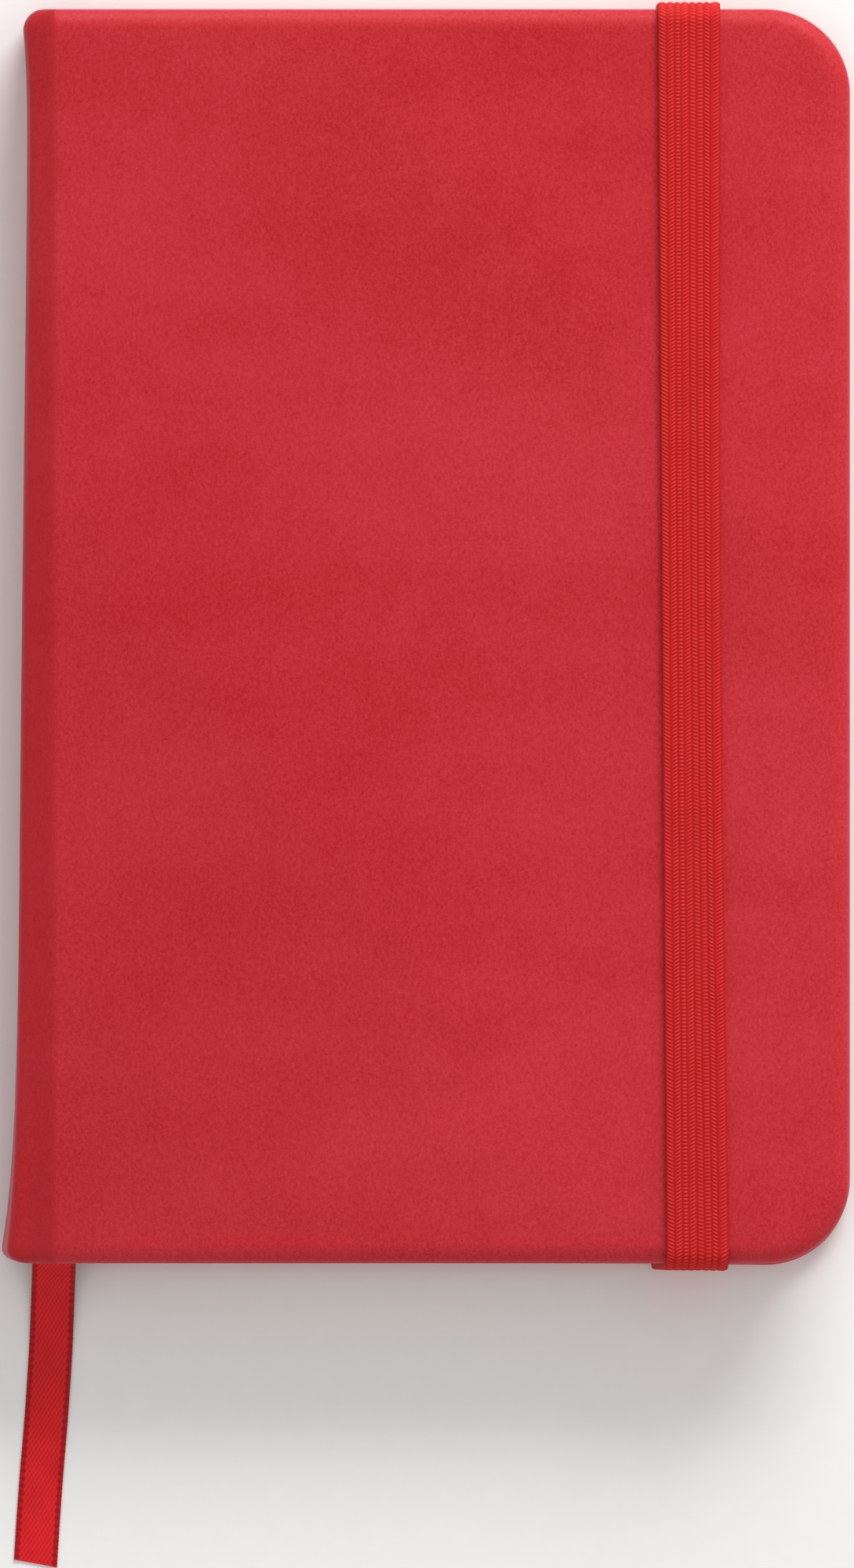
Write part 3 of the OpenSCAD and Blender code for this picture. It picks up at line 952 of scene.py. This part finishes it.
# The length of a stitch and how high it stands, in mm. Each rib has its width and how far its
# stitches climb over that width, in mm; the widths are scaled to fill the band.
stitch = 0.415
stitch_height = 0.18
ribs = ((1.07, 0.58), (0.69, -0.38), (0.80, 0.0), (0.75, -0.24), (0.91, 0.50), (0.64, 0.0),
        (0.83, 0.46), (0.91, -0.50))
rib_cells, stitch_rows = 4, 4
rib_total = sum(rib[0] for rib in ribs)


def knit(u, s):
    """The elastic's face in eight ribs of stitches. The even columns of the mesh are moved to the
    ribs' own widths, and its rows are slanted to follow the stitches."""
    width = band_w / mm
    cells = len(ribs) * rib_cells
    count = min(cells - 1e-6, max(0.0, (u / width + 0.5) * cells))
    index = min(int(count / rib_cells + 1e-3), len(ribs) - 1)
    part = count / rib_cells - index
    across = (sum(rib[0] for rib in ribs[:index]) + part * ribs[index][0]) / rib_total - 0.5
    along = sum(rib[1] for rib in ribs[:index]) + part * ribs[index][1]
    loop = math.cos(2 * math.pi * (s / stitch + 0.3 * index))
    # The share sets the colour: painted shade in the grooves between the ribs and low in each loop,
    # painted highlight on the stitch tops.
    share = max(0.0, 4 * part * (1 - part)) ** 0.6 * (0.55 + 0.45 * loop)
    return stitch_height * share, across * width - u, along, share


# The darker red is painted shade in the grooves of the knit, the brighter one painted highlight on
# the stitches.
elastic_red = woven_finish("elastic_yarn", (0.46, 0.001, 0.001), (0.76, 0.035, 0.035), 0.65, 0.03,
                           (1.0, 0.6, 0.5))
strand_head_x, strand_tail_x = 28.5 * mm, 29.5 * mm
band_gap = 0.03 * mm
over_face = face_z + band_t + band_gap
past_edge = half_h + band_t + band_gap
back_run = 0.2 * mm
glued_z = 1.55 * mm
glued_l = 15 * mm
narrowing, bow_in = 0.055, 0.22 * mm
# The line of the band's outer face: each corner with the radius it is rounded to.
corners = [
    (slot_x, slot_y - glued_l, glued_z, 0), (slot_x, slot_y, glued_z, 0.3 * mm),
    (slot_x, slot_y, back_run, 0.3 * mm),
    (slot_x + head_askew, past_edge, back_run, 1.2 * mm),
    (strand_head_x, past_edge, over_face, 2.1 * mm),
    (strand_tail_x, -past_edge, over_face, 2.1 * mm), (slot_x, -past_edge, back_run, 1.2 * mm),
    (slot_x, -slot_y, back_run, 0.3 * mm), (slot_x, -slot_y, glued_z, 0.3 * mm),
    (slot_x, glued_l - slot_y, glued_z, 0)]


def rounded_line(corners, steps=8):
    """A line of points through corners, each rounded to its radius and filled in between."""
    line = [np.array(corners[0][:3])]
    for before, corner, after in zip(corners, corners[1:], corners[2:]):
        a, b, c = (np.array(p[:3], float) for p in (before, corner, after))
        back, on = (a - b) / np.linalg.norm(a - b), (c - b) / np.linalg.norm(c - b)
        r = corner[3]
        for t in np.linspace(0, math.pi / 2, steps + 1):
            line.append(b + back * r * (1 - math.sin(t)) + on * r * (1 - math.cos(t)))
    line.append(np.array(corners[-1][:3]))
    return np.array(line)


band_line = rounded_line(corners)
band_length = np.linalg.norm(np.diff(band_line, axis=0), axis=1).sum()
elastic = woven_strip("elastic", band_w, band_t, len(ribs) * rib_cells, stitch_rows, stitch * mm,
                      round(band_length / (stitch * mm)), knit)
lay_along(elastic, band_line, np.tile([-1.0, 0, 0], (len(band_line), 1)))
# Stretched over the cover, the band is narrower in the middle and bows a little to the spine.
for v in elastic.data.vertices:
    if v.co.z > face_z:
        share = 0.5 - v.co.y / (2 * half_h)
        middle = strand_head_x + (strand_tail_x - strand_head_x) * share
        bow = math.cos(math.pi / 2 * min(1, abs(v.co.y) / half_h))
        v.co.x = middle + (v.co.x - middle) * (1 - narrowing * bow) - bow_in * bow
close_up(elastic, elastic_red, 70)
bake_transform(elastic)
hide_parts("elastic_band", "band_anchors")


# ---- The ribbon's glued end ----
# The same ribbon, glued flat to the folds at the head, past the end of the gauze, and turned in
# over the head of the leaves. The turned part is folded to half its width.
tab_low, tab_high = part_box("ribbon_tab")
tab_x, tab_y = tab_low.x + ribbon_t, tab_high.y - 0.05 * mm
tab_line = rounded_line([(tab_x, tab_low.y, 0, 0), (tab_x, tab_y, 0, 0.2 * mm),
                         (tab_high.x, tab_y, 0, 0)])
fold_from, fold_over, fold_share = 0.4 * mm, 2 * mm, 0.96
tab_middle = tab_low.z + ribbon_w / 2
tab_length = np.linalg.norm(np.diff(tab_line, axis=0), axis=1).sum()
tab = woven_strip("ribbon_tab_glued", ribbon_w, ribbon_t, ribbon_cells, ribbon_rows,
                  weave_repeat * mm, round(tab_length / (weave_repeat * mm)), satin)
lay_along(tab, tab_line, np.tile([0, 0, -1.0], (len(tab_line), 1)))
for v in tab.data.vertices:
    folded = max(0.0, min(1.0, (v.co.x - tab_low.x - fold_from) / fold_over))
    lower = v.co.z < 0
    v.co.z = tab_middle + v.co.z * (1 - fold_share * folded if lower else 1)
close_up(tab, ribbon_red, 60)
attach(tab, "root")
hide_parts("ribbon_tab")
